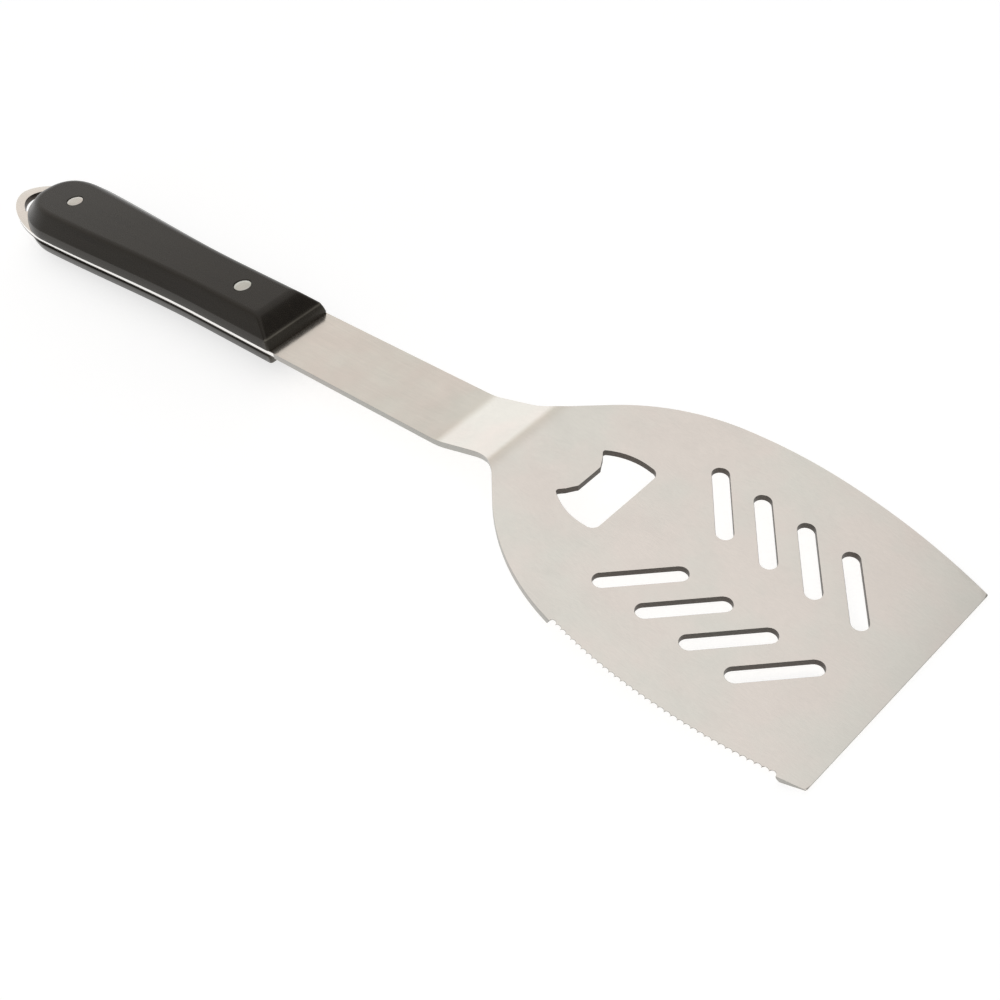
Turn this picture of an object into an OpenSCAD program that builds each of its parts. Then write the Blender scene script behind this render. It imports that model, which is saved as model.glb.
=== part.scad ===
// Grill spatula: one bent steel sheet (blade, neck and full tang) with two
// handle scales held by two cutler's rivets. It lies as it is put down, on the
// heel of its front edge and the rear end of the handle, food side down.
// Millimetres. +X runs from the handle to the front edge, +Z is up.

/* [Sheet] */
// Thickness of the steel sheet
sheet_t = 2.5; // [2.3:0.1:2.7]
// Widest half-width of the blade
blade_hw = 54.4; // [53:0.1:56]
// Radius of the long edge from the widest point to the front corner
front_r = 230; // [220:1:240]
// Radius of the edge just behind the widest point
rear_r = 165; // [155:1:175]
// Radius of the shoulder that turns in to the neck
shoulder_r = 80; // [78:1:82]
// Distance from the slot centre to the front edge
front_x = 55.8; // [54:0.1:58]
// Radius of the fillet between shoulder and neck
neck_fillet = 20.5; // [19:0.5:22]
// Half-width of the neck and of the front of the tang
neck_hw = 14.45; // [14.2:0.05:14.7]

/* [Slots] */
// Slots in each row
slot_n = 4; // [4]
// Distance between slots along the blade
slot_pitch = 17; // [16.5:0.1:17.5]
// Length of a slot, end to end
slot_l = 30.1; // [28:0.1:31]
// Width of a slot
slot_w = 5.85; // [5:0.05:6.2]
// Angle of a slot from the blade's centre line
slot_a = 48.9; // [47:0.1:51]
// Distance of each row's centres from the centre line
slot_y = 20.26; // [20:0.02:21]

/* [Bottle opener] */
// Straight front side of the opening
opener_x = -48.1; // [-49:0.1:-47]
// Front of the tooth that lifts the cap
tooth_x = -63.8; // [-65:0.1:-62]
// Half-width of the opening
opener_hw = 16.5; // [15.8:0.1:17]
// Half-width of the tooth's flat nose
tooth_hw = 5.4; // [4.6:0.1:6]

/* [Serrated edge] */
// Rear end of the serrated edge
serr_x0 = -34.9; // [-36:0.1:-34]
// Number of scallops
serr_n = 36; // [30:1:36]
// Distance between scallops along the edge
serr_pitch = 2.287; // [2.26:0.001:2.3]
// Radius of a scallop
scallop_r = 1.17; // [1.16:0.01:1.2]
// Depth of the scallops from the plain edge
scallop_d = 1.48; // [1.4:0.02:1.5]
// Thickness left at the serrated edge
edge_t = 0.3; // [0.3:0.05:0.5]
// Thickness left at the front edge
front_t = 0.5; // [0.4:0.05:0.7]
// Width of the grind on the front edge
front_grind = 9.5; // [9:0.1:10]

/* [Bends] */
// Distance from the slot centre back to the bend behind the blade
bend1_x = -91.75; // [-92.25:0.25:-91.25]
// Slope of the riser below the blade's face
riser_a = 24.8; // [24.4:0.1:25.2]
// Distance from the slot centre back to the bend at the foot of the riser
bend2_x = -119.4; // [-120:0.1:-119]
// Slope of the neck and tang below the blade's face
tang_a = 10.5; // [10:0.1:11]

/* [Tang] */
// How far the scales stand proud of the tang's edge
proud = 0.5; // [0.45:0.05:0.6]
// Distance along the tang from its bend to the end of the hang loop
tang_l = 276.2; // [275.6:0.2:277]
// Distance along the tang from its bend to the widest part of the loop
loop_u = 237; // [236:0.1:238]
// Width of the loop's rim at its end
rim_end = 5.8; // [5.4:0.1:6]
// Half-width that the hole would reach at its widest
hole_hw = 11.8; // [11.5:0.1:12]

/* [Handle scales] */
// Thickness of one scale
scale_t = 10; // [9.5:0.1:10.5]
// Distance along the tang from its bend to the scales' front face
scale_u = 89.2; // [88.6:0.1:90]
// Height of the scales' steep front face
face_h = 4; // [3.5:0.1:4.5]
// Distance along the tang to the front end of the flat top
top_u = 98.7; // [98:0.1:99.5]
// How far the handle widens to each side towards its rear
swell = 4.2; // [3.8:0.1:4.5]

/* [Rivets] */
// Distance along the tang to the front rivet
rivet1_u = 118.8; // [118:0.1:120]
// Distance along the tang to the rear rivet
rivet2_u = 231.5; // [230:0.5:232]
// Diameter of a rivet head
head_d = 6.8; // [6.4:0.1:7.2]
// Thickness of a rivet head
head_h = 1.5; // [1.3:0.1:1.8]
// Outside diameter of the rivet's sleeve
sleeve_d = 4.6; // [4.4:0.1:4.8]
// Diameter of the rivet's post
post_d = 3; // [2.8:0.1:3.2]

/* [Hidden] */
$fn = 48;
big = 400;

// a circular arc as points, from angle a to angle b
function arc(cx, cy, r, a, b, n) = [for (i = [0:n]) let (t = a + (b - a) * i / n) [cx + r * cos(t), cy + r * sin(t)]];
function flip(p) = [for (i = [len(p) - 1:-1:0]) [p[i][0], -p[i][1]]];
function smooth(t) = let (c = min(1, max(0, t))) c * c * (3 - 2 * c);

// ---- blade outline, +Y half, from the front edge back to the neck ----
wide_x = -5;
blend_x = -40;
corner_r = 0.8;
blend_a = asin((wide_x - blend_x) / rear_r);
blend_y = blade_hw - rear_r * (1 - cos(blend_a));
sh_cx = blend_x + shoulder_r * sin(blend_a);
sh_cy = blend_y - shoulder_r * cos(blend_a);
neck_a = 45.5;
sh_end = [sh_cx - shoulder_r * sin(neck_a), sh_cy + shoulder_r * cos(neck_a)];
neck_corner_x = sh_end[0] - (sh_end[1] - neck_hw) / tan(neck_a);
fil_cx = neck_corner_x - neck_fillet * tan(neck_a / 2);
fil_cy = neck_hw + neck_fillet;
front_y = blade_hw - front_r + sqrt(front_r * front_r - pow(front_x - corner_r - wide_x, 2));
front_a = asin((front_x - corner_r - wide_x) / front_r);
blade_half = concat(
    arc(front_x - corner_r, front_y - corner_r, corner_r, 0, 80, 5),
    arc(wide_x, blade_hw - front_r, front_r, 90 - front_a, 90, 30),
    [for (p = arc(wide_x, blade_hw - rear_r, rear_r, 90, 90 + blend_a, 16)) if (p[0] < wide_x - 0.5) p],
    [for (p = arc(sh_cx, sh_cy, shoulder_r, 90 + blend_a, 90 + neck_a, 24)) if (p[0] < blend_x - 0.5) p],
    [for (p = arc(fil_cx, fil_cy, neck_fillet, neck_a - 90, -90, 12)) p],
    [[bend2_x - 99, neck_hw]]);
module blade_plan() { polygon(concat(blade_half, flip(blade_half))); }

// ---- tang outline in its own plane: u runs back from the second bend ----
widen_u0 = 133.4;
widen_u1 = 248.3;
tang_u0 = 94;
function tang_hw(u) = neck_hw + 0.05 + (swell - 0.3) * smooth((u - widen_u0) / (widen_u1 - widen_u0));
// rounded end: from angle 90 at u0 to angle 0 at u0 + l
function round_end(u0, l, w, p, n) = [for (k = [0:n]) let (t = 90 - 90 * k / n) [u0 + l * pow(cos(t), 2 / p), w * pow(max(0, sin(t)), 2 / p)]];
tang_half = concat([[tang_u0, tang_hw(tang_u0)]], [for (k = [0:20]) let (u = widen_u0 + (loop_u - 1 - widen_u0) * k / 20) [u, tang_hw(u)]],
                   round_end(loop_u, tang_l - loop_u, tang_hw(loop_u), 1.8, 40));
module tang_plan() { polygon(concat(tang_half, flip([for (i = [0:len(tang_half) - 2]) tang_half[i]]))); }
hole_u0 = 260.1;
hole_r0 = 1.6;
hole_c = 246.1;
hole_half = [for (q = round_end(hole_c, tang_l - rim_end - hole_c, hole_hw, 2, 60)) if (q[0] > hole_u0 + hole_r0) q];
hole_y0 = hole_half[0][1] + 0.4;
module hang_hole_plan() {
    h = concat(arc(hole_u0 + hole_r0, hole_y0 - hole_r0, hole_r0, 180, 95, 5), hole_half);
    polygon(concat(h, flip([for (i = [0:len(h) - 2]) h[i]])));
}

// ---- side view of the sheet: its upper face, then its lower face ----
bend1_r = 18.4;
bend2_r = 25;
bend2_z = (bend2_x - bend1_x) * tan(riser_a);
t1 = (bend1_r) * tan(riser_a / 2);
t2 = (bend2_r) * tan((riser_a - tang_a) / 2);
function top_line() = concat(
    [[front_x + 10, 0]],
    arc(bend1_x + t1, -bend1_r, bend1_r, 90, 90 + riser_a, 10),
    arc(bend2_x + t2 * cos(riser_a) - bend2_r * sin(riser_a), bend2_z + t2 * sin(riser_a) + bend2_r * cos(riser_a), bend2_r, riser_a - 90, tang_a - 90, 8),
    [[bend2_x - (tang_l + 10) * cos(tang_a), bend2_z - (tang_l + 10) * sin(tang_a)]]);
function low_line() = concat(
    [[front_x + 10, -sheet_t]],
    arc(bend1_x + t1, -bend1_r, bend1_r - sheet_t, 90, 90 + riser_a, 10),
    arc(bend2_x + t2 * cos(riser_a) - bend2_r * sin(riser_a), bend2_z + t2 * sin(riser_a) + bend2_r * cos(riser_a), bend2_r + sheet_t, riser_a - 90, tang_a - 90, 8),
    [[bend2_x - (tang_l + 10) * cos(tang_a) + sheet_t * sin(tang_a), bend2_z - (tang_l + 10) * sin(tang_a) - sheet_t * cos(tang_a)]]);
function rev(p) = [for (i = [len(p) - 1:-1:0]) p[i]];
module side_view() { polygon(concat(top_line(), rev(low_line()))); }

// ---- tang frame: x = u (back along the tang), z = height above its upper face ----
module on_tang() { translate([bend2_x, 0, bend2_z]) rotate([0, -tang_a, 0]) mirror([1, 0, 0]) children(); }

// ---- resting attitude: heel of the front grind and rear of the lower scale on the floor ----
top_rear_u = 233.6;
top_rear_l = 18.1;
heel = [front_x - front_grind, -sheet_t];
rest_u = top_rear_u + top_rear_l;
butt = [bend2_x - rest_u * cos(tang_a) + (sheet_t + scale_t) * sin(tang_a), bend2_z - rest_u * sin(tang_a) - (sheet_t + scale_t) * cos(tang_a)];
rest_a = atan2(heel[1] - butt[1], heel[0] - butt[0]);
floor_z = -heel[0] * sin(rest_a) + heel[1] * cos(rest_a);
loop_end = [bend2_x - tang_l * cos(tang_a), bend2_z - tang_l * sin(tang_a)];
x_hi = front_x * cos(rest_a);
x_lo = loop_end[0] * cos(rest_a) + loop_end[1] * sin(rest_a);
module at_rest() { translate([-(x_hi + x_lo) / 2, 0, -floor_z]) rotate([0, rest_a, 0]) children(); }

// ---- cutters ----
module slot(x, side) {
    translate([x, side * slot_y, -10]) rotate([0, 0, -side * slot_a]) {
        translate([-(slot_l - slot_w) / 2, -slot_w / 2, 0]) cube([slot_l - slot_w, slot_w, 20]);
        for (e = [-1, 1]) translate([e * (slot_l - slot_w) / 2, 0, 0]) cylinder(d = slot_w, h = 20);
    }
}
module opener_plan() {
    side_r = 23.3;
    cx = opener_x - 5.9;
    cy = opener_hw - side_r;
    h = concat(
        arc(opener_x - 3.2, opener_hw - 3.3, 3.2, 0, 85, 6),
        arc(cx, cy, side_r, 84, 123, 14),
        arc(tooth_x - 2.8, 11.45, 1.1, 120, 215, 4),
        [[tooth_x - 0.35, tooth_hw + 0.5], [tooth_x, tooth_hw]]);
    polygon(concat(h, flip(h)));
}
function edge_r(x) = x > wide_x ? front_r : rear_r;
function edge_a(x) = asin((x - wide_x) / edge_r(x));
serr_s0 = asin((serr_x0 - wide_x) / rear_r) / 180 * PI * rear_r;
function scallop_a(n) = let (q = serr_s0 + serr_pitch * n) q / (q > 0 ? front_r : rear_r) * 180 / PI;
module scallops() {
    for (k = [0:serr_n - 1]) {
        a = scallop_a(k + 0.5);
        er = a > 0 ? front_r : rear_r;
        d = scallop_d - scallop_r;
        translate([wide_x + (er - d) * sin(a), -(blade_hw - er + (er - d) * cos(a)), -10])
            cylinder(r = scallop_r, h = 20);
    }
}
// grind on the lower face along the serrated edge: straight wedges, each along a chord of the edge
serr_x1 = wide_x + front_r * sin(scallop_a(serr_n));
function edge_y(x) = edge_r(x) * cos(edge_a(x)) - edge_r(x) + blade_hw;
grind_n = 9;
module serrated_grind() {
    for (k = [0:grind_n - 1]) {
        xa = serr_x0 + (serr_x1 - serr_x0) * k / grind_n;
        xb = serr_x0 + (serr_x1 - serr_x0) * (k + 1) / grind_n;
        pa = [xa, -edge_y(xa)];
        pb = [xb, -edge_y(xb)];
        ea = k == 0 ? 0 : 2;
        eb = k == grind_n - 1 ? 0 : 2;
        translate([pa[0], pa[1], 0]) rotate([0, 0, atan2(pb[1] - pa[1], pb[0] - pa[0])]) translate([-ea, 0, 0])
            rotate([90, 0, 90]) linear_extrude(norm(pb - pa) + ea + eb)
                polygon([[4.2, -sheet_t - 1], [4.2, -sheet_t], [1.5, -edge_t], [0.42, -edge_t + 0.08], [0.3, 0.3], [-2, 0.3], [-2, -sheet_t - 1]]);
    }
}
module front_grind_cut() {
    translate([0, big / 2, 0]) rotate([90, 0, 0]) linear_extrude(big)
        polygon([[front_x - front_grind, -sheet_t], [front_x, -front_t], [front_x + 4, -front_t + 4 * (sheet_t - front_t) / front_grind],
                 [front_x + 4, -sheet_t - 3], [front_x - front_grind, -sheet_t - 3]]);
}

// ---- sub-parts ----
module blade_and_tang() color([0.78, 0.77, 0.75]) at_rest() difference() {
    intersection() {
        translate([0, 100, 0]) rotate([90, 0, 0]) linear_extrude(200) side_view();
        union() {
            translate([0, 0, -60]) linear_extrude(80) blade_plan();
            on_tang() translate([0, 0, -30]) linear_extrude(60) tang_plan();
        }
    }
    for (k = [0:slot_n - 1], side = [-1, 1]) slot((k - (slot_n - 1) / 2) * slot_pitch, side);
    translate([0, 0, -10]) linear_extrude(20) opener_plan();
    scallops();
    serrated_grind();
    front_grind_cut();
    on_tang() translate([0, 0, -10]) {
        linear_extrude(20) hang_hole_plan();
        for (u = [rivet1_u, rivet2_u]) translate([u, 0, 0]) cylinder(d = sleeve_d + 0.2, h = 20);
    }
}

// ---- handle scale: rings of the same outline, from the tang up to the flat top ----
scale_hw = neck_hw + proud;
top_hw = 9.45;
top_swell = 3.35;
rear_u = 234.8;
rear_l = 25.7;
n_side = 22;
n_end = 16;
function ring_half(u0, rc, u1, l, hw, sw, p) = concat(
    [for (q = arc(0, 0, rc, 180, 90, 5)) [u0 + rc + q[0], hw - rc + q[1]]],
    [for (k = [1:n_side]) let (u = u0 + rc + (u1 - u0 - rc) * k / n_side) [u, hw + sw * smooth((u - widen_u0) / (widen_u1 - widen_u0))]],
    [for (k = [1:n_end]) let (t = 90 - 90 * k / n_end, w = hw + sw * smooth((u1 - widen_u0) / (widen_u1 - widen_u0)))
        [u1 + l * pow(cos(t), 2 / p), w * pow(max(0, sin(t)), 2 / p)]]);
low_half = ring_half(scale_u, 1, rear_u, rear_l, scale_hw, swell, 2);
high_half = ring_half(top_u, 1.5, top_rear_u, top_rear_l, top_hw, top_swell, 2.5);
// share of the way from the lower outline to the upper one, at each height
levels = [[0, 0], [face_h * 0.5, 0.05], [face_h, 0.14], [6, 0.42], [8, 0.7], [9.5, 0.93], [scale_t, 1]];
function ring(h, f) = let (m = len(low_half),
    half = [for (i = [0:m - 1]) [low_half[i][0] + (high_half[i][0] - low_half[i][0]) * f, low_half[i][1] + (high_half[i][1] - low_half[i][1]) * f]])
    concat([for (q = half) [q[0], q[1], h]], [for (i = [m - 2:-1:0]) [half[i][0], -half[i][1], h]]);
module scale_body() {
    n = 2 * len(low_half) - 1;
    nl = len(levels);
    pts = [for (v = levels) each ring(v[0], v[1])];
    polyhedron(points = pts, faces = concat(
        [[for (i = [0:n - 1]) i]],
        [[for (i = [n - 1:-1:0]) (nl - 1) * n + i]],
        [for (j = [0:nl - 2], i = [0:n - 1]) each [
            [j * n + i, (j + 1) * n + i, (j + 1) * n + (i + 1) % n],
            [j * n + i, (j + 1) * n + (i + 1) % n, j * n + (i + 1) % n]]]));
}
module scale_solid() difference() {
    scale_body();
    for (u = [rivet1_u, rivet2_u]) translate([u, 0, 0]) {
        translate([0, 0, -1]) cylinder(d = sleeve_d + 0.1, h = scale_t + 2);
        translate([0, 0, scale_t - head_h - 0.1]) cylinder(d = head_d + 0.3, h = 5);
    }
}
module upper_scale() color([0.17, 0.16, 0.15]) at_rest() on_tang() scale_solid();
module lower_scale() color([0.2, 0.19, 0.18]) at_rest() on_tang() translate([0, 0, -sheet_t]) mirror([0, 0, 1]) scale_solid();

// ---- two-piece cutler's rivet: the sleeve comes from above, the post from below ----
stack = 2 * scale_t + sheet_t;
module rivet_sleeve(u) color([0.72, 0.71, 0.69]) at_rest() on_tang() translate([u, 0, 0]) difference() {
    union() {
        translate([0, 0, scale_t - 0.1 - head_h]) cylinder(d = head_d, h = head_h);
        translate([0, 0, scale_t - stack + head_h + 1.4]) cylinder(d = sleeve_d, h = stack - 2 * head_h - 1.5);
    }
    translate([0, 0, -stack]) cylinder(d = post_d, h = stack + scale_t - head_h - 1);
}
module rivet_post(u) color([0.68, 0.67, 0.65]) at_rest() on_tang() translate([u, 0, scale_t - stack]) {
    translate([0, 0, 0.1]) cylinder(d = head_d, h = head_h);
    translate([0, 0, 0.1]) cylinder(d = post_d, h = stack - head_h - 2.6);
}
module front_rivet_sleeve() { rivet_sleeve(rivet1_u); }
module front_rivet_post() { rivet_post(rivet1_u); }
module rear_rivet_sleeve() { rivet_sleeve(rivet2_u); }
module rear_rivet_post() { rivet_post(rivet2_u); }

blade_and_tang();
upper_scale();
lower_scale();
front_rivet_sleeve();
front_rivet_post();
rear_rivet_sleeve();
rear_rivet_post();
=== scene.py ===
import bpy, bmesh, math
import numpy as np
from mathutils import Vector, Matrix


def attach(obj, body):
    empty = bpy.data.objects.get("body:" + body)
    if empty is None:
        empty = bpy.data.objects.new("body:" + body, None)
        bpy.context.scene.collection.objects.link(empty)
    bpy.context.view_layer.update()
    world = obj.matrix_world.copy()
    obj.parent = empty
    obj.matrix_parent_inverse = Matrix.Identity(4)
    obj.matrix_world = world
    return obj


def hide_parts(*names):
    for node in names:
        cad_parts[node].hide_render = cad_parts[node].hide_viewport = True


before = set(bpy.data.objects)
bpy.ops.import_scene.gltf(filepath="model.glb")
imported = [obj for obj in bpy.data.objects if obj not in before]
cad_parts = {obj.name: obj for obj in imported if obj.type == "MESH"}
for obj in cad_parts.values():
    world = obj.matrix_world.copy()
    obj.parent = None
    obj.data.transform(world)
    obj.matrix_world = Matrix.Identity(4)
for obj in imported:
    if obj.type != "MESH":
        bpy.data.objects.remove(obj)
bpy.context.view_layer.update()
MM = 0.001

# ------------------------------------------------------------------ the tool's frame, repeated from part.scad
T = 2.5
SCALE_T = 10.0
BEND1_X, RISER, BEND2_X, TANG = -91.75, 24.8, -119.4, 10.5
FRONT_X, GRIND, REST_U, TANG_L = 55.8, 9.5, 251.7, 276.2
cosd = lambda a: math.cos(math.radians(a))
sind = lambda a: math.sin(math.radians(a))
tand = lambda a: math.tan(math.radians(a))
BEND2_Z = (BEND2_X - BEND1_X) * tand(RISER)
heel = (FRONT_X - GRIND, -T)
butt = (BEND2_X - REST_U * cosd(TANG) + (T + SCALE_T) * sind(TANG), BEND2_Z - REST_U * sind(TANG) - (T + SCALE_T) * cosd(TANG))
REST = math.atan2(heel[1] - butt[1], heel[0] - butt[0])
FLOOR_Z = -heel[0] * math.sin(REST) + heel[1] * math.cos(REST)
LOOP = (BEND2_X - TANG_L * cosd(TANG), BEND2_Z - TANG_L * sind(TANG))
MID = (FRONT_X * math.cos(REST) + LOOP[0] * math.cos(REST) + LOOP[1] * math.sin(REST)) / 2


def row(x, y, z):
    """blade-frame millimetres to the row frame in metres"""
    return ((x * math.cos(REST) + z * math.sin(REST) - MID) * MM, y * MM, (-x * math.sin(REST) + z * math.cos(REST) - FLOOR_Z) * MM)


def tang(u, y, h):
    return row(BEND2_X - u * cosd(TANG) - h * sind(TANG), y, BEND2_Z - u * sind(TANG) + h * cosd(TANG))


def smooth(t):
    c = min(1.0, max(0.0, t))
    return c * c * (3 - 2 * c)


# ------------------------------------------------------------------ node helpers
def new_mat(name):
    m = bpy.data.materials.new(name)
    m.use_nodes = True
    nt = m.node_tree
    nt.nodes.clear()
    out = nt.nodes.new("ShaderNodeOutputMaterial")
    b = nt.nodes.new("ShaderNodeBsdfPrincipled")
    nt.links.new(b.outputs[0], out.inputs[0])
    return m, nt, b


def coords(nt, scale):
    tc = nt.nodes.new("ShaderNodeTexCoord")
    mp = nt.nodes.new("ShaderNodeMapping")
    mp.inputs["Scale"].default_value = scale
    nt.links.new(tc.outputs["Object"], mp.inputs["Vector"])
    return mp.outputs[0]


def noise(nt, vec, scale, detail=4.0, rough=0.5):
    n = nt.nodes.new("ShaderNodeTexNoise")
    n.inputs["Scale"].default_value = scale
    n.inputs["Detail"].default_value = detail
    n.inputs["Roughness"].default_value = rough
    nt.links.new(vec, n.inputs["Vector"])
    return n.outputs["Fac"]


def ramp(nt, fac, stops):
    r = nt.nodes.new("ShaderNodeValToRGB")
    el = r.color_ramp.elements
    while len(el) < len(stops):
        el.new(0.5)
    for e, (p, c) in zip(el, stops):
        e.position = p
        e.color = (*c, 1.0)
    nt.links.new(fac, r.inputs[0])
    return r.outputs[0]


def mapped(nt, fac, lo, hi, a=0.3, b=0.7):
    m = nt.nodes.new("ShaderNodeMapRange")
    m.inputs["From Min"].default_value = a
    m.inputs["From Max"].default_value = b
    m.inputs["To Min"].default_value = lo
    m.inputs["To Max"].default_value = hi
    nt.links.new(fac, m.inputs["Value"])
    return m.outputs[0]


def mix_rgb(nt, fac, a, b, mode="MIX"):
    m = nt.nodes.new("ShaderNodeMix")
    m.data_type = "RGBA"
    m.blend_type = mode
    for sock, val in ((m.inputs[0], fac), (m.inputs[6], a), (m.inputs[7], b)):
        if isinstance(val, (int, float)):
            sock.default_value = val
        elif isinstance(val, tuple):
            sock.default_value = (*val, 1.0)
        else:
            nt.links.new(val, sock)
    return m.outputs[2]


def bump(nt, bsdf, layers):
    prev = None
    for height, strength, dist in layers:
        b = nt.nodes.new("ShaderNodeBump")
        b.inputs["Strength"].default_value = strength
        b.inputs["Distance"].default_value = dist
        nt.links.new(height, b.inputs["Height"])
        if prev is not None:
            nt.links.new(prev, b.inputs["Normal"])
        prev = b.outputs[0]
    nt.links.new(prev, bsdf.inputs["Normal"])


# ------------------------------------------------------------------ materials
def steel(name, base, rough, grain_scale, aniso, mottle=0.5):
    m, nt, b = new_mat(name)
    b.inputs["Metallic"].default_value = 1.0
    b.inputs["Anisotropic"].default_value = aniso
    tg = nt.nodes.new("ShaderNodeTangent")
    tg.direction_type = "RADIAL"
    tg.axis = "X"
    nt.links.new(tg.outputs[0], b.inputs["Tangent"])
    iso = coords(nt, (1.0, 1.0, 1.0))
    grain = noise(nt, coords(nt, grain_scale), 1.0, 3.0, 0.6)
    cloud = noise(nt, iso, 70.0, 4.0, 0.6)
    tint = noise(nt, iso, 38.0, 3.0, 0.55)
    speck = noise(nt, iso, 900.0, 2.0, 0.5)
    k = mottle
    warm = tuple(c * f for c, f in zip(base, (1 + 0.035 * k, 1.0, 1 - 0.01 * k)))
    cool = tuple(c * f for c, f in zip(base, (1 - 0.035 * k, 1.0 + 0.012 * k, 1 - 0.005 * k)))
    c1 = ramp(nt, tint, [(0.38, warm), (0.62, cool)])
    lo = tuple([1 - 0.075 * k] * 3)
    hi = tuple([1 + 0.0 * k] * 3)
    c2 = mix_rgb(nt, 1.0, c1, ramp(nt, cloud, [(0.35, lo), (0.62, hi)]), "MULTIPLY")
    c3 = mix_rgb(nt, 1.0, c2, ramp(nt, grain, [(0.3, (0.955, 0.955, 0.955)), (0.7, (1, 1, 1))]), "MULTIPLY")
    nt.links.new(c3, b.inputs["Base Color"])
    r = mapped(nt, cloud, rough - 0.03, rough + 0.04)
    nt.links.new(r, b.inputs["Roughness"])
    bump(nt, b, [(grain, 0.10, 0.00002), (speck, 0.05, 0.00002)])
    return m


def black_grip(name):
    m, nt, b = new_mat(name)
    b.inputs["Specular IOR Level"].default_value = 0.36
    b.inputs["Specular Tint"].default_value = (1.0, 0.93, 0.84, 1.0)
    b.inputs["IOR"].default_value = 1.5
    iso = coords(nt, (1.0, 1.0, 1.0))
    fine = noise(nt, iso, 2600.0, 2.0, 0.6)
    streak = noise(nt, coords(nt, (28.0, 420.0, 420.0)), 1.0, 4.0, 0.6)
    cloud = noise(nt, iso, 45.0, 3.0, 0.5)
    base = ramp(nt, streak, [(0.30, (0.0075, 0.0060, 0.0044)), (0.52, (0.0125, 0.0100, 0.0072)), (0.74, (0.0150, 0.0122, 0.0088))])
    base = mix_rgb(nt, mapped(nt, cloud, 0.0, 0.35), base, (0.0145, 0.0120, 0.0088))
    # the edge attribute lightens the base colour: a painted highlight along the front ridge and a painted
    # reflection on the low front face
    at = nt.nodes.new("ShaderNodeAttribute")
    at.attribute_name = "edge"
    painted_ridge_light = nt.nodes.new("ShaderNodeMath")
    painted_ridge_light.operation = "MULTIPLY"
    nt.links.new(at.outputs["Fac"], painted_ridge_light.inputs[0])
    nt.links.new(mapped(nt, cloud, 0.55, 1.0), painted_ridge_light.inputs[1])
    base = mix_rgb(nt, painted_ridge_light.outputs[0], base, (0.20, 0.185, 0.155))
    nt.links.new(base, b.inputs["Base Color"])
    nt.links.new(mapped(nt, fine, 0.22, 0.32), b.inputs["Roughness"])
    bump(nt, b, [(fine, 0.03, 0.00002), (streak, 0.05, 0.00003)])
    return m


def plain_floor(name):
    m, nt, b = new_mat(name)
    fine = noise(nt, coords(nt, (1.0, 1.0, 1.0)), 14.0, 3.0)
    nt.links.new(ramp(nt, fine, [(0.3, (0.50, 0.50, 0.50)), (0.7, (0.51, 0.51, 0.51))]), b.inputs["Base Color"])
    b.inputs["Roughness"].default_value = 0.9
    b.inputs["Specular IOR Level"].default_value = 0.1
    b.inputs["Emission Color"].default_value = (1, 1, 1, 1)
    b.inputs["Emission Strength"].default_value = 0.70
    return m


BLADE_STEEL = steel("blade_steel", (0.86, 0.81, 0.755), 0.17, (60.0, 2600.0, 2600.0), 0.0, 0.6)
# outer walls of the blade and neck: the same steel given a darker base colour as painted shade, not a different
# metal
EDGE_STEEL_PAINTED_SHADE = steel("plain_edge_painted_shade", (0.44, 0.425, 0.40), 0.34, (60.0, 900.0, 60.0), 0.0, 0.5)
# front edge and upper half of the tang's edge: the same steel made near white as a painted highlight
TANG_EDGE_PAINTED_HIGHLIGHT = steel("tang_edge_painted_highlight", (0.97, 0.95, 0.92), 0.3, (60.0, 900.0, 60.0), 0.0, 0.2)
# walls of the holes and lower half of the tang's edge: the same steel made near black as painted shade
CUT_WALL_PAINTED_SHADE = steel("cut_edge_painted_shade", (0.105, 0.094, 0.085), 0.42, (300.0, 300.0, 1500.0), 0.0, 1.0)
RIVET_STEEL = steel("rivet_steel", (0.66, 0.63, 0.585), 0.26, (900.0, 3000.0, 900.0), 0.0, 0.9)
GRIP = black_grip("handle_black")
FLOOR = plain_floor("floor_white")


# ------------------------------------------------------------------ mesh helpers
def link(name, verts, faces, mat, body="root"):
    me = bpy.data.meshes.new(name)
    me.from_pydata([tuple(v) for v in verts], [], [tuple(f) for f in faces])
    me.materials.append(mat)
    me.update()
    o = bpy.data.objects.new(name, me)
    bpy.context.scene.collection.objects.link(o)
    if body:
        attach(o, body)
    return o


def shade(o, angle=35.0):
    for p in o.data.polygons:
        p.use_smooth = True
    try:
        o.data.set_sharp_from_angle(angle=math.radians(angle))
    except Exception:
        pass
    w = o.modifiers.new("wn", "WEIGHTED_NORMAL")
    w.mode = "FACE_AREA"
    w.keep_sharp = True
    w.weight = 80


def fix_normals(o):
    bm = bmesh.new()
    bm.from_mesh(o.data)
    bmesh.ops.recalc_face_normals(bm, faces=bm.faces)
    bm.to_mesh(o.data)
    bm.free()


# ------------------------------------------------------------------ handle scales
NECK_HW, PROUD, SWELL = 14.45, 0.5, 4.2
WID0, WID1 = 133.4, 248.3
SCALE_U, TOP_U, FACE_H = 89.2, 98.7, 4.0
RIVETS = (118.8, 231.5)
HEAD_D, HEAD_H, SLEEVE_D, POST_D = 6.8, 1.5, 4.6, 3.0


def ring_half(u0, rc, u1, l, hw, sw, p, n_c=10, n_s=64, n_e=44):
    out = []
    for k in range(n_c + 1):
        a = 180 - 90 * k / n_c
        out.append((u0 + rc + rc * cosd(a), hw - rc + rc * sind(a)))
    for k in range(1, n_s + 1):
        u = u0 + rc + (u1 - u0 - rc) * k / n_s
        out.append((u, hw + sw * smooth((u - WID0) / (WID1 - WID0))))
    w = hw + sw * smooth((u1 - WID0) / (WID1 - WID0))
    for k in range(1, n_e + 1):
        t = 90 - 90 * k / n_e
        c, s = max(0.0, cosd(t)), max(0.0, sind(t))
        out.append((u1 + l * c ** (2 / p), w * s ** (2 / p)))
    return out


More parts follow.
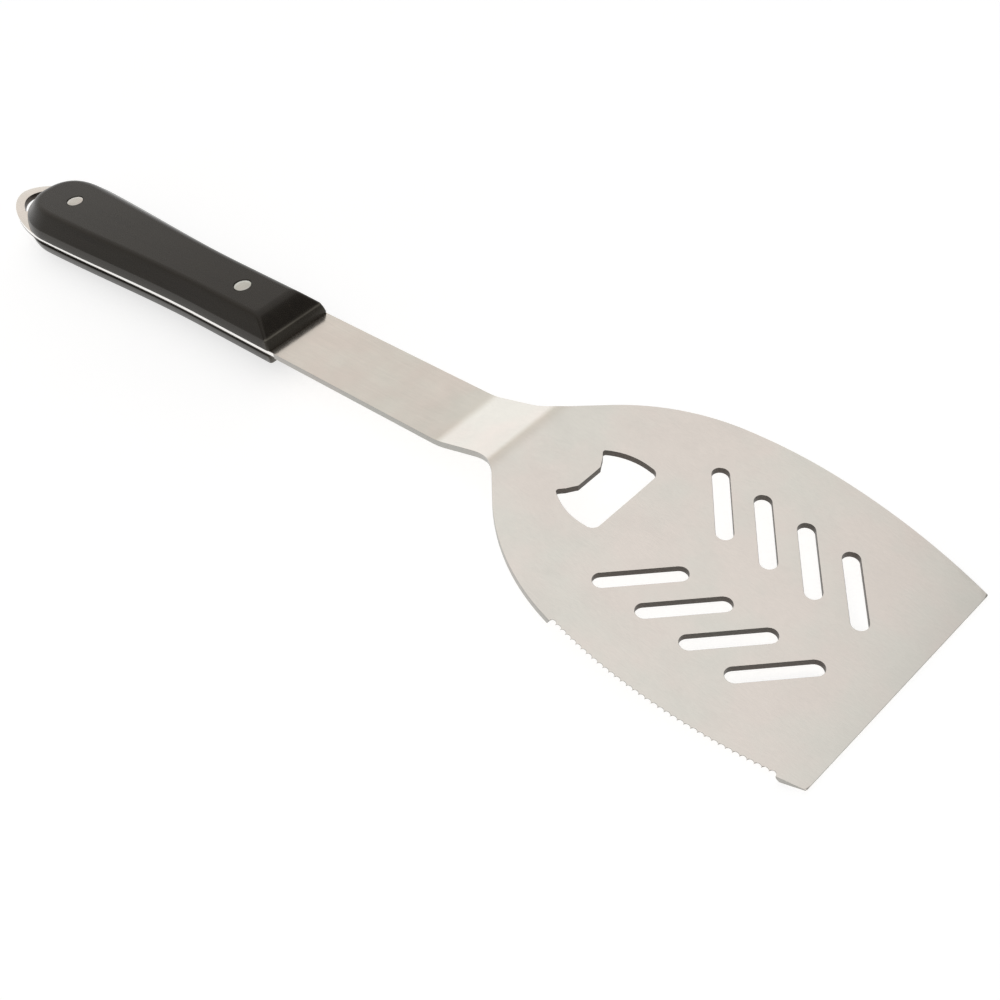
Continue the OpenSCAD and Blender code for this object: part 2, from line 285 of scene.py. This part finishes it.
LOW = ring_half(SCALE_U, 1.0, 234.8, 25.7, NECK_HW + PROUD, SWELL, 2.0)
HIGH = ring_half(TOP_U, 1.5, 233.6, 18.1, 9.45, 3.35, 2.5)
# share of the way from the lower outline to the upper one at each height
LEV = [(0.0, 0.0), (2.0, 0.05), (4.0, 0.14), (6.0, 0.42), (8.0, 0.7), (9.5, 0.93), (10.0, 1.0)]


def share(h):
    for (a, fa), (b, fb) in zip(LEV, LEV[1:]):
        if h <= b:
            return fa + (fb - fa) * (h - a) / (b - a)
    return 1.0


def scale_piece(name, node, side):
    """side +1 above the tang, -1 below it"""
    prof = [(h, 0.25 * share(max(0, h - 0.25)) + 0.5 * share(h) + 0.25 * share(h + 0.25)) for h in
            (0.0, 0.12, 0.35, 1.0, 2.0, 3.0, 3.6, 3.85, 4.0, 4.15, 4.4, 4.8, 5.4, 6.0, 6.6, 7.2, 7.8, 8.3, 8.7)]
    RT, AT = 3.0, 51.3
    for k in range(9):
        al = AT * (1 - k / 8)
        prof.append((10 - RT + RT * cosd(al), 1 + (RT * math.tan(math.radians(AT / 2)) - RT * sind(al)) / 5.5))
    rings, edge = [], []
    m = len(LOW)
    for h, f in prof:
        inset = 0.0
        if h < 0.35:
            inset = 0.18 * (1 - h / 0.35) ** 2
        half = []
        for (a, b) in zip(LOW, HIGH):
            u, w = a[0] + (b[0] - a[0]) * f, a[1] + (b[1] - a[1]) * f
            half.append([u, w])
        # shrink towards the middle by the rim's rounding
        cu = 0.5 * (half[0][0] + half[-1][0])
        if inset:
            for q in half:
                q[0] += inset * (1 if q[0] < cu else -1) * min(1.0, abs(q[0] - cu) / 80.0)
                q[1] = max(0.0, q[1] - inset)
        ring = [(q[0], q[1]) for q in half] + [(half[i][0], -half[i][1]) for i in range(m - 2, 0, -1)] + [(half[0][0], -half[0][1])]
        rings.append([(u, w, h) for u, w in ring])
    n = len(rings[0])
    verts, faces = [], []
    for rg in rings:
        for u, w, h in rg:
            verts.append(tang(u, w, h if side > 0 else -T - h))
    for j in range(len(rings) - 1):
        for i in range(n):
            a, b = j * n + i, j * n + (i + 1) % n
            faces.append((a, b, b + n, a + n))
    faces.append(tuple(range(n - 1, -1, -1)))
    faces.append(tuple((len(rings) - 1) * n + i for i in range(n)))
    o = link(name, verts, faces, GRIP)
    fix_normals(o)
    # holes for the rivets
    for u in RIVETS:
        prof = [(0, SCALE_T + 3), (HEAD_D / 2 + 0.45, SCALE_T + 3), (HEAD_D / 2 + 0.45, SCALE_T + 0.05), (HEAD_D / 2 + 0.15, SCALE_T - 0.25),
                (HEAD_D / 2 + 0.15, SCALE_T - HEAD_H - 0.1), (SLEEVE_D / 2 + 0.05, SCALE_T - HEAD_H - 0.1), (SLEEVE_D / 2 + 0.05, -2), (0, -2)]
        c = lathe("cut", prof, u, GRIP, side, None)
        md = o.modifiers.new("hole", "BOOLEAN")
        md.operation = "DIFFERENCE"
        md.solver = "EXACT"
        md.object = c
        bpy.context.view_layer.objects.active = o
        with bpy.context.temp_override(object=o, active_object=o, selected_objects=[o]):
            bpy.ops.object.modifier_apply(modifier="hole")
        bpy.data.objects.remove(c, do_unlink=True)
    # edge value: a painted highlight line along the front ridge at h=4 and a weaker painted reflection on the
    # low front face below it
    at = o.data.attributes.new("edge", "FLOAT", "POINT")
    tf = lambda v: v
    vals = []
    cr, sr = math.cos(REST), math.sin(REST)
    for v in o.data.vertices:
        x, z = v.co.x / MM + MID, v.co.z / MM + FLOOR_Z
        bx, bz = x * cr - z * sr, x * sr + z * cr
        du, dz = bx - BEND2_X, bz - BEND2_Z
        h = -du * sind(TANG) + dz * cosd(TANG)
        h = h if side > 0 else -T - h
        u = -du * cosd(TANG) - dz * sind(TANG)
        e = 0.0
        if u < SCALE_U + 2.2 and h < 5:
            e = max(0.9 * math.exp(-((h - 4.0) / 0.3) ** 2), 0.22 if h < 4 else 0.0)
        vals.append(e)
    at.data.foreach_set("value", vals)
    shade(o, 40)
    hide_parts(node)
    return o


def lathe(name, prof, u, mat, side=1, body="root", n=64):
    verts, faces = [], []
    for r, h in prof:
        hh = h if side > 0 else -T - h
        if r <= 1e-6:
            verts.append([tang(u, 0, hh)])
        else:
            verts.append([tang(u + r * math.cos(2 * math.pi * i / n), r * math.sin(2 * math.pi * i / n), hh) for i in range(n)])
    idx, flat = [], []
    for g in verts:
        idx.append(list(range(len(flat), len(flat) + len(g))))
        flat += g
    for a, b in zip(idx, idx[1:]):
        if len(a) == 1 and len(b) == 1:
            continue
        for i in range(n):
            j = (i + 1) % n
            if len(a) == 1:
                faces.append((a[0], b[j], b[i]))
            elif len(b) == 1:
                faces.append((a[i], a[j], b[0]))
            else:
                faces.append((a[i], a[j], b[j], b[i]))
    if prof[0] == prof[-1]:
        pass
    o = link(name, flat, faces, mat, body)
    fix_normals(o)
    return o


top = scale_piece("upper_scale_grip", "upper_scale", 1)
low = scale_piece("lower_scale_grip", "lower_scale", -1)

# ------------------------------------------------------------------ rivets
STACK = 2 * SCALE_T + T
for tag, u in (("front", RIVETS[0]), ("rear", RIVETS[1])):
    r, b = HEAD_D / 2, 0.22
    hb = SCALE_T - 0.1 - HEAD_H
    lo = SCALE_T - STACK + HEAD_H + 1.4
    sleeve = [(0, SCALE_T - 0.06), (r * 0.55, SCALE_T - 0.07), (r - b, SCALE_T - 0.10), (r - b * 0.3, SCALE_T - 0.10 - b * 0.35), (r, SCALE_T - 0.10 - b), (r, hb + 0.1), (r - 0.1, hb), (SLEEVE_D / 2, hb),
              (SLEEVE_D / 2, lo), (POST_D / 2 + 0.02, lo), (POST_D / 2 + 0.02, SCALE_T - HEAD_H - 1), (0, SCALE_T - HEAD_H - 1)]
    o = lathe(tag + "_rivet_sleeve_turned", sleeve, u, RIVET_STEEL, 1)
    shade(o, 30)
    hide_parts(tag + "_rivet_sleeve")
    post = [(0, SCALE_T - 0.06), (r * 0.55, SCALE_T - 0.07), (r - b, SCALE_T - 0.10), (r - b * 0.3, SCALE_T - 0.10 - b * 0.35), (r, SCALE_T - 0.10 - b), (r, hb + 0.1), (r - 0.1, hb), (POST_D / 2, hb),
            (POST_D / 2, SCALE_T + 0.1 - STACK + HEAD_H + 2.3), (POST_D / 2 - 0.3, SCALE_T + 0.1 - STACK + HEAD_H + 2.0), (0, SCALE_T + 0.1 - STACK + HEAD_H + 2.0)]
    o = lathe(tag + "_rivet_post_turned", post, u, RIVET_STEEL, -1)
    shade(o, 30)
    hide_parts(tag + "_rivet_post")

# ------------------------------------------------------------------ the sheet: outline, bends and edges
R_F, R_R, R_S, R_N = 230.0, 165.0, 80.0, 20.5
WIDE_X, BLADE_HW, BLEND_X, CORNER, NECK_A = -5.0, 54.4, -40.0, 0.8, 45.5
BEND1_R, BEND2_R = 18.4, 25.0
T1 = BEND1_R * tand(RISER / 2)
T2 = BEND2_R * tand((RISER - TANG) / 2)
C1X = BEND1_X + T1
C2X = BEND2_X + T2 * cosd(RISER) - BEND2_R * sind(RISER)
C2Z = BEND2_Z + T2 * sind(RISER) + BEND2_R * cosd(RISER)
B1_END = C1X - BEND1_R * sind(RISER)
B2_START = C2X + BEND2_R * sind(RISER)
B2_END = C2X + BEND2_R * sind(TANG)


def profile(x):
    """height of the sheet's upper face and its slope in degrees, at x"""
    if x >= C1X:
        return 0.0, 0.0
    if x >= B1_END:
        a = math.asin((C1X - x) / BEND1_R)
        return -BEND1_R + BEND1_R * math.cos(a), math.degrees(a)
    if x >= B2_START:
        return (x - BEND1_X) * tand(RISER), RISER
    if x >= B2_END:
        a = math.asin((x - C2X) / BEND2_R)
        return C2Z - BEND2_R * math.cos(a), math.degrees(a)
    return BEND2_Z + (x - BEND2_X) * tand(TANG), TANG


def place(x, y, depth):
    z, a = profile(x)
    return row(x + depth * sind(a), y, z - depth * cosd(a))


def arc(cx, cy, r, a, b, n):
    return [(cx + r * cosd(a + (b - a) * i / n), cy + r * sind(a + (b - a) * i / n)) for i in range(n + 1)]


def edge_r(x):
    return R_F if x > WIDE_X else R_R


def edge_ang(x):
    return math.degrees(math.asin((x - WIDE_X) / edge_r(x)))


def edge_y(x):
    return edge_r(x) * cosd(edge_ang(x)) - edge_r(x) + BLADE_HW


blend_a = math.degrees(math.asin((WIDE_X - BLEND_X) / R_R))
sh_cx = BLEND_X + R_S * sind(blend_a)
sh_cy = BLADE_HW - R_R * (1 - cosd(blend_a)) - R_S * cosd(blend_a)
sh_end = (sh_cx - R_S * sind(NECK_A), sh_cy + R_S * cosd(NECK_A))
corner_x = sh_end[0] - (sh_end[1] - NECK_HW) / tand(NECK_A)
fil = (corner_x - R_N * tand(NECK_A / 2), NECK_HW + R_N)
fil_x0 = fil[0] + R_N * sind(NECK_A)


def half_width(x):
    """plan half-width at x, from the shoulder's straight part back to the scales"""
    if x >= sh_end[0]:
        return sh_cy + math.sqrt(R_S ** 2 - (x - sh_cx) ** 2)
    if x >= fil_x0:
        return NECK_HW + (x - corner_x) * tand(NECK_A)
    if x >= fil[0]:
        return fil[1] - math.sqrt(R_N ** 2 - (x - fil[0]) ** 2)
    return NECK_HW


def stations():
    xs = list(np.linspace(C1X + 0.3, B1_END - 0.3, 22)) + list(np.linspace(B2_START + 0.3, B2_END - 0.3, 20))
    xs += list(np.linspace(fil_x0 + 2.5, fil[0], 14)) + list(np.linspace(B1_END - 3, B2_START + 3, 5)) + list(np.linspace(B2_END - 6, -205, 12))
    xs = sorted(set(round(float(v), 3) for v in xs), reverse=True)
    out = [xs[0]]
    for v in xs[1:]:
        if out[-1] - v > 0.12:
            out.append(v)
    return out


STN = stations()
LOOP_U, RIM_END, HOLE_U0, HOLE_C, HOLE_HW = 237.0, 5.8, 260.1, 246.1, 11.8


def tang_hw(u):
    return NECK_HW + 0.05 + (SWELL - 0.3) * smooth((u - WID0) / (WID1 - WID0))


def round_end(u0, l, w, p, n):
    out = []
    for k in range(n + 1):
        t = 90 - 90 * k / n
        out.append((u0 + l * max(0.0, cosd(t)) ** (2 / p), w * max(0.0, sind(t)) ** (2 / p)))
    return out


def ux(u):
    return BEND2_X - u * cosd(TANG)


# +Y half, from the middle of the front edge back to the end of the loop
fy = BLADE_HW - R_F + math.sqrt(R_F ** 2 - (FRONT_X - CORNER - WIDE_X) ** 2)
fa = math.degrees(math.asin((FRONT_X - CORNER - WIDE_X) / R_F))
plain = [(FRONT_X, y) for y in np.linspace(0, fy - CORNER, 24)]
corner = arc(FRONT_X - CORNER, fy - CORNER, CORNER, 0, 80, 6)[1:]
side_f = arc(WIDE_X, BLADE_HW - R_F, R_F, 90 - fa, 90, 60)
side_r = arc(WIDE_X, BLADE_HW - R_R, R_R, 90, 90 + blend_a, 34)[1:]
should = [p for p in arc(sh_cx, sh_cy, R_S, 90 + blend_a, 90 + NECK_A, 44)[1:] if p[0] > STN[0] + 0.3]
neck = [(x, half_width(x)) for x in STN]
rear = [(ux(u), tang_hw(u)) for u in np.linspace(94, LOOP_U, 60)][:-1]
loop = [(ux(u), y) for u, y in round_end(LOOP_U, TANG_L - LOOP_U, tang_hw(LOOP_U), 1.8, 90)]
half_p = plain + corner + side_f + side_r + should + neck + rear + loop

# -Y half: the same, with the scallops
SX0, SN, SP, SR, SD = -34.9, 36, 2.287, 1.17, 1.48
S0 = math.asin((SX0 - WIDE_X) / R_R) * R_R


def scallop_a(n):
    q = S0 + SP * n
    return math.degrees(q / (R_F if q > 0 else R_R))


SX1 = WIDE_X + R_F * sind(scallop_a(SN))
scal = []
for k in range(SN - 1, -1, -1):
    a = scallop_a(k + 0.5)
    R = R_F if a > 0 else R_R
    cx, cy = WIDE_X + (R - SD + SR) * sind(a), BLADE_HW - R + (R - SD + SR) * cosd(a)
    inner = math.degrees(math.asin(SP / 2 / SR)) * 0.995
    open_a = 90 + math.degrees(math.asin((SD - SR) / SR))
    lo, hi = (-open_a if k == SN - 1 else -inner), (open_a if k == 0 else inner)
    base = 270 - a
    m = 8
    pts = [(cx + SR * cosd(base - (lo + (hi - lo) * i / m)), cy + SR * sind(base - (lo + (hi - lo) * i / m))) for i in range(m + 1)]
    if scal:
        scal[-1] = ((scal[-1][0] + pts[0][0]) / 2, (scal[-1][1] + pts[0][1]) / 2)
        pts = pts[1:]
    scal += pts
half_m = plain + corner + [p for p in side_f if p[0] > scal[0][0] + 0.25] + scal + [p for p in side_r if p[0] < scal[-1][0] - 0.25] + should + neck + rear + loop
outer = half_p + [(x, -y) for x, y in reversed(half_m[1:-1])]
outer = [p for i, p in enumerate(outer) if math.dist(p, outer[i - 1]) > 0.02]


def stadium(cx, cy, ang, l, w, n=14):
    pts = arc((l - w) / 2, 0, w / 2, -90, 90, n) + arc(-(l - w) / 2, 0, w / 2, 90, 270, n)
    c, s = cosd(ang), sind(ang)
    return [(cx + x * c - y * s, cy + x * s + y * c) for x, y in pts]


holes = [stadium((k - 1.5) * 17.0, sd * 20.26, -sd * 48.9, 30.1, 5.85) for k in range(4) for sd in (-1, 1)]
OX, TX, OHW, THW = -48.1, -63.8, 16.5, 5.4
oh = [(OX, 4.5), (OX, 9.0)] + arc(OX - 3.2, OHW - 3.3, 3.2, 0, 85, 9) + arc(OX - 5.9, OHW - 23.3, 23.3, 84, 123, 22) + arc(TX - 2.8, 11.45, 1.1, 120, 215, 9)
oh += [(TX - 0.42 - (2.0 - k) * 0.9, THW + 0.55 + (2.0 - k) * 1.55) for k in (0, 1)] + [(TX - 0.35, THW + 0.5), (TX - 0.1, THW + 0.2), (TX, THW - 0.1), (TX, 2.0)]
holes.append(oh + [(x, -y) for x, y in reversed(oh)])
hh = [p for p in round_end(HOLE_C, TANG_L - RIM_END - HOLE_C, HOLE_HW, 2.0, 90) if p[0] > HOLE_U0 + 1.6]
hh = arc(HOLE_U0 + 1.6, hh[0][1] + 0.4 - 1.6, 1.6, 180, 95, 6) + hh
hh = [(ux(u), y) for u, y in hh]
holes.append(hh + [(x, -y) for x, y in reversed(hh) if y > 1e-6])
for u in RIVETS:
    holes.append([(ux(u) + 2.4 * cosd(a), 2.4 * sind(a)) for a in range(0, 360, 15)])


def ccw(poly, want=True):
    area = sum(poly[i - 1][0] * poly[i][1] - poly[i][0] * poly[i - 1][1] for i in range(len(poly)))
    return poly if (area > 0) == want else poly[::-1]


loops = [ccw(outer, True)] + [ccw(h, False) for h in holes]


def inward(poly, d):
    """offset into the material, which lies to the left of each loop"""
    n = len(poly)
    out = []
    for i in range(n):
        a, b, c = poly[i - 1], poly[i], poly[(i + 1) % n]
        t1 = Vector((b[0] - a[0], b[1] - a[1])).normalized()
        t2 = Vector((c[0] - b[0], c[1] - b[1])).normalized()
        n1, n2 = Vector((-t1.y, t1.x)), Vector((-t2.y, t2.x))
        m = n1 + n2
        if m.length < 1e-6:
            m = n1.copy()
        m.normalize()
        k = d / max(0.5, m.dot(n1))
        out.append((b[0] + m.x * k, b[1] + m.y * k))
    return out


EDGE_T, FRONT_T = 0.3, 0.5


def thick(x, y):
    """sheet thickness, less along the two ground edges"""
    t = T
    if x > FRONT_X - GRIND:
        t = min(t, FRONT_T + (T - FRONT_T) * (FRONT_X - x) / GRIND)
    if y < 0 and SX0 - 1.2 < x < SX1 + 1.2:
        dep = edge_y(x) + y
        dep *= cosd(edge_ang(x))
        g = EDGE_T + (T - EDGE_T) * max(0.0, dep - 1.5) / 2.7
        run = smooth((x - SX0 + 1.0) / 1.2) * smooth((SX1 + 1.0 - x) / 1.2)
        t = min(t, max(g, EDGE_T) * run + T * (1 - run))
    return max(EDGE_T, t)


from mathutils.geometry import delaunay_2d_cdt
BEV = 0.14
inner = [inward(p, BEV) for p in loops]
pts, edges, start = [], [], []
for p in inner:
    start.append(len(pts))
    n = len(p)
    edges += [(len(pts) + i, len(pts) + (i + 1) % n) for i in range(n)]
    pts += p
# lines across the bends
out_in = inner[0]
for x in STN:
    hits = [i for i, p in enumerate(loops[0]) if abs(p[0] - x) < 1e-6]
    if len(hits) == 2:
        edges.append((hits[0], hits[1]))
# lines where the ground faces begin
gx = [SX0 - 1.1, SX0 - 0.1] + list(np.linspace(SX0 + 0.3, SX1 - 0.3, 60)) + [SX1 + 0.1, SX1 + 1.1]
g0 = len(pts)
for x in gx:
    c = cosd(edge_ang(x))
    pts.append((x, -(edge_y(x) - 4.2 / c)))
edges += [(g0 + i, g0 + i + 1) for i in range(len(gx) - 1)]
g1 = len(pts)
gy = np.linspace(-(fy - 3.2), fy - 1.0, 40)
pts += [(FRONT_X - GRIND, float(y)) for y in gy]
edges += [(g1 + i, g1 + i + 1) for i in range(len(gy) - 1)]
def in_poly(p, poly):
    x, y = p
    c = False
    for i in range(len(poly)):
        (x1, y1), (x2, y2) = poly[i - 1], poly[i]
        if (y1 > y) != (y2 > y) and x < (x2 - x1) * (y - y1) / (y2 - y1) + x1:
            c = not c
    return c


vo, eo, fo, ov, _, _ = delaunay_2d_cdt([Vector(p) for p in pts], edges, [], 0, 1e-5)
back = {}
for k, ids in enumerate(ov):
    for i in ids:
        back[i] = k
tris = []
for f in fo:
    c = sum((vo[i] for i in f), Vector((0, 0))) / len(f)
    if in_poly(c, inner[0]) and not any(in_poly(c, h) for h in inner[1:]):
        a, b, d = (vo[i] for i in f[:3])
        if abs((b - a).cross(d - a)) > 1e-9:
            tris.append(list(f) if (b - a).cross(d - a) > 0 else list(f)[::-1])
V, F, MI = [], [], []
nv = len(vo)
for v in vo:
    V.append(place(v.x, v.y, 0.0))
for v in vo:
    V.append(place(v.x, v.y, thick(v.x, v.y)))
for f in tris:
    F.append(tuple(f)); MI.append(0)
    F.append(tuple(nv + i for i in reversed(f))); MI.append(0)
for li, (po, pi) in enumerate(zip(loops, inner)):
    n = len(po)
    s = start[li]
    top_i = [back[s + i] for i in range(n)]
    bot_i = [nv + k for k in top_i]
    rings, kinds = [top_i], []
    def add_ring(frac_out, depth_of):
        base = len(V)
        for i in range(n):
            x = pi[i][0] + (po[i][0] - pi[i][0]) * frac_out
            y = pi[i][1] + (po[i][1] - pi[i][1]) * frac_out
            V.append(place(x, y, depth_of(thick(x, y))))
        rings.append([base + i for i in range(n)])
    add_ring(0.7, lambda t: min(BEV, t * 0.3) * 0.3)
    add_ring(1.0, lambda t: min(BEV, t * 0.3))
    add_ring(1.0, lambda t: 0.66 * t)
    add_ring(1.0, lambda t: t - min(BEV, t * 0.3))
    add_ring(0.7, lambda t: t - min(BEV, t * 0.3) * 0.3)
    rings.append(bot_i)
    for k, (ra, rb) in enumerate(zip(rings, rings[1:])):
        for i in range(n):
            j = (i + 1) % n
            F.append((ra[j], ra[i], rb[i], rb[j]))
            # wall colours are painted light: hole walls painted shade, the front edge a painted highlight,
            # outer walls ahead of the handle a darker painted shade, and the tang's edge under the handle a
            # painted highlight on its upper half over a painted shadow line on its lower half
            MI.append(0 if k in (0, 5) else 1 if li else 3 if po[i][0] > FRONT_X - 0.3 else 2 if po[i][0] > ux(89.4) else 3 if k < 3 else 1)
sheet = link("blade_and_tang_sheet", V, F, BLADE_STEEL)
sheet.data.materials.append(CUT_WALL_PAINTED_SHADE)
sheet.data.materials.append(EDGE_STEEL_PAINTED_SHADE)
sheet.data.materials.append(TANG_EDGE_PAINTED_HIGHLIGHT)
sheet.data.polygons.foreach_set("material_index", MI)
bm = bmesh.new()
bm.from_mesh(sheet.data)
bmesh.ops.remove_doubles(bm, verts=bm.verts, dist=1e-7)
loose = [v for v in bm.verts if not v.link_faces]
bmesh.ops.delete(bm, geom=loose, context="VERTS")
bmesh.ops.recalc_face_normals(bm, faces=bm.faces)
print("sheet open edges", sum(1 for e in bm.edges if len(e.link_faces) != 2), "faces", len(bm.faces))
bm.to_mesh(sheet.data)
bm.free()
shade(sheet, 50)
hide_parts("blade_and_tang")

# ------------------------------------------------------------------ floor, light, camera
fl = link("floor", [(-6, -6, 0), (6, -6, 0), (6, 6, 0), (-6, 6, 0)], [(0, 1, 2, 3)], FLOOR, None)

world = bpy.data.worlds.new("studio")
bpy.context.scene.world = world
world.use_nodes = True
wn = world.node_tree
wn.nodes.clear()
wo = wn.nodes.new("ShaderNodeOutputWorld")
bg = wn.nodes.new("ShaderNodeBackground")
wn.links.new(bg.outputs[0], wo.inputs[0])
tc = wn.nodes.new("ShaderNodeTexCoord")
sep = wn.nodes.new("ShaderNodeSeparateXYZ")
wn.links.new(tc.outputs["Generated"], sep.inputs[0])


def sky_ramp(fac, stops):
    r = wn.nodes.new("ShaderNodeValToRGB")
    e = r.color_ramp.elements
    while len(e) < len(stops):
        e.new(0.5)
    for q, (p, v) in zip(e, stops):
        q.position = p
        q.color = (*v, 1.0)
    wn.links.new(fac, r.inputs[0])
    return r.outputs[0]


def sky_math(op, a, b):
    m = wn.nodes.new("ShaderNodeMath")
    m.operation = op
    for sock, v in zip(m.inputs, (a, b)):
        if isinstance(v, (int, float)):
            sock.default_value = v
        else:
            wn.links.new(v, sock)
    return m.outputs[0]


# brightness by height, times a darker far right side, times a slightly darker near side
height = sky_ramp(sep.outputs["Z"], [(0.0, (1.0, 1.0, 1.0)), (0.28, (1.0, 1.0, 1.0)), (0.36, (0.93, 0.93, 0.92)), (0.455, (0.80, 0.775, 0.74)), (0.515, (0.665, 0.64, 0.605)), (0.565, (0.75, 0.725, 0.695)), (0.60, (0.70, 0.68, 0.655)), (0.62, (0.70, 0.68, 0.655)), (0.70, (0.745, 0.73, 0.715)), (0.80, (0.80, 0.795, 0.79)), (1.0, (0.83, 0.825, 0.82))])
across = sky_math("ADD", sep.outputs["X"], sky_math("MULTIPLY", sep.outputs["Y"], 0.6))
grey = lambda v: (v, v, v)
side = sky_ramp(sky_math("MULTIPLY", sky_math("ADD", across, 1.6), 1 / 3.2), [((q + 1.6) / 3.2, grey(v)) for q, v in ((-1.6, 1.0), (0.19, 1.0), (0.245, 0.975), (0.29, 0.9), (0.42, 0.55), (0.575, 0.25), (0.9, 0.2))])
near = sky_ramp(sky_math("MULTIPLY", sky_math("ADD", sep.outputs["Y"], 1.0), 0.5), [(0.0, grey(0.54)), (0.2, grey(0.58)), (0.45, grey(0.93)), (0.55, grey(1.0))])


def sky_mul(a, b):
    m = wn.nodes.new("ShaderNodeMix")
    m.data_type = "RGBA"
    m.blend_type = "MULTIPLY"
    m.inputs[0].default_value = 1.0
    wn.links.new(a, m.inputs[6])
    wn.links.new(b, m.inputs[7])
    return m.outputs[2]


wn.links.new(sky_mul(sky_mul(height, side), near), bg.inputs["Color"])
bg.inputs["Strength"].default_value = 1.05


def area(name, loc, target, size, power, color=(1, 1, 1)):
    l = bpy.data.lights.new(name, "AREA")
    l.shape = "RECTANGLE"
    l.size, l.size_y = size
    l.energy = power
    l.color = color
    o = bpy.data.objects.new(name, l)
    o.location = loc
    d = Vector(target) - Vector(loc)
    o.rotation_euler = d.to_track_quat("-Z", "Y").to_euler()
    bpy.context.scene.collection.objects.link(o)
    return o


area("soft_front", (1.3, -1.1, 1.7), (0, 0, 0), (1.4, 1.4), 6.0)

cam = bpy.data.cameras.new("cam")
cam.sensor_width = 36.0
cam.lens = 58.5871
cam.clip_start = 0.01
cam.clip_end = 50
co = bpy.data.objects.new("cam", cam)
bpy.context.scene.collection.objects.link(co)


def turn(x, y, z):
    return Vector((x * math.cos(REST) + z * math.sin(REST), y, -x * math.sin(REST) + z * math.cos(REST)))


right = turn(0.729521, 0.683955, -0.002147)
down = turn(0.518442, -0.555024, -0.650512)
fwd = turn(-0.446112, 0.473450, -0.759493)
eye = row(152.705, -271.967, 392.931)
co.matrix_world = Matrix(((right.x, -down.x, -fwd.x, eye[0]), (right.y, -down.y, -fwd.y, eye[1]), (right.z, -down.z, -fwd.z, eye[2]), (0, 0, 0, 1)))
bpy.context.scene.camera = co
bpy.context.scene.view_settings.view_transform = "Standard"
bpy.context.scene.view_settings.look = "None"
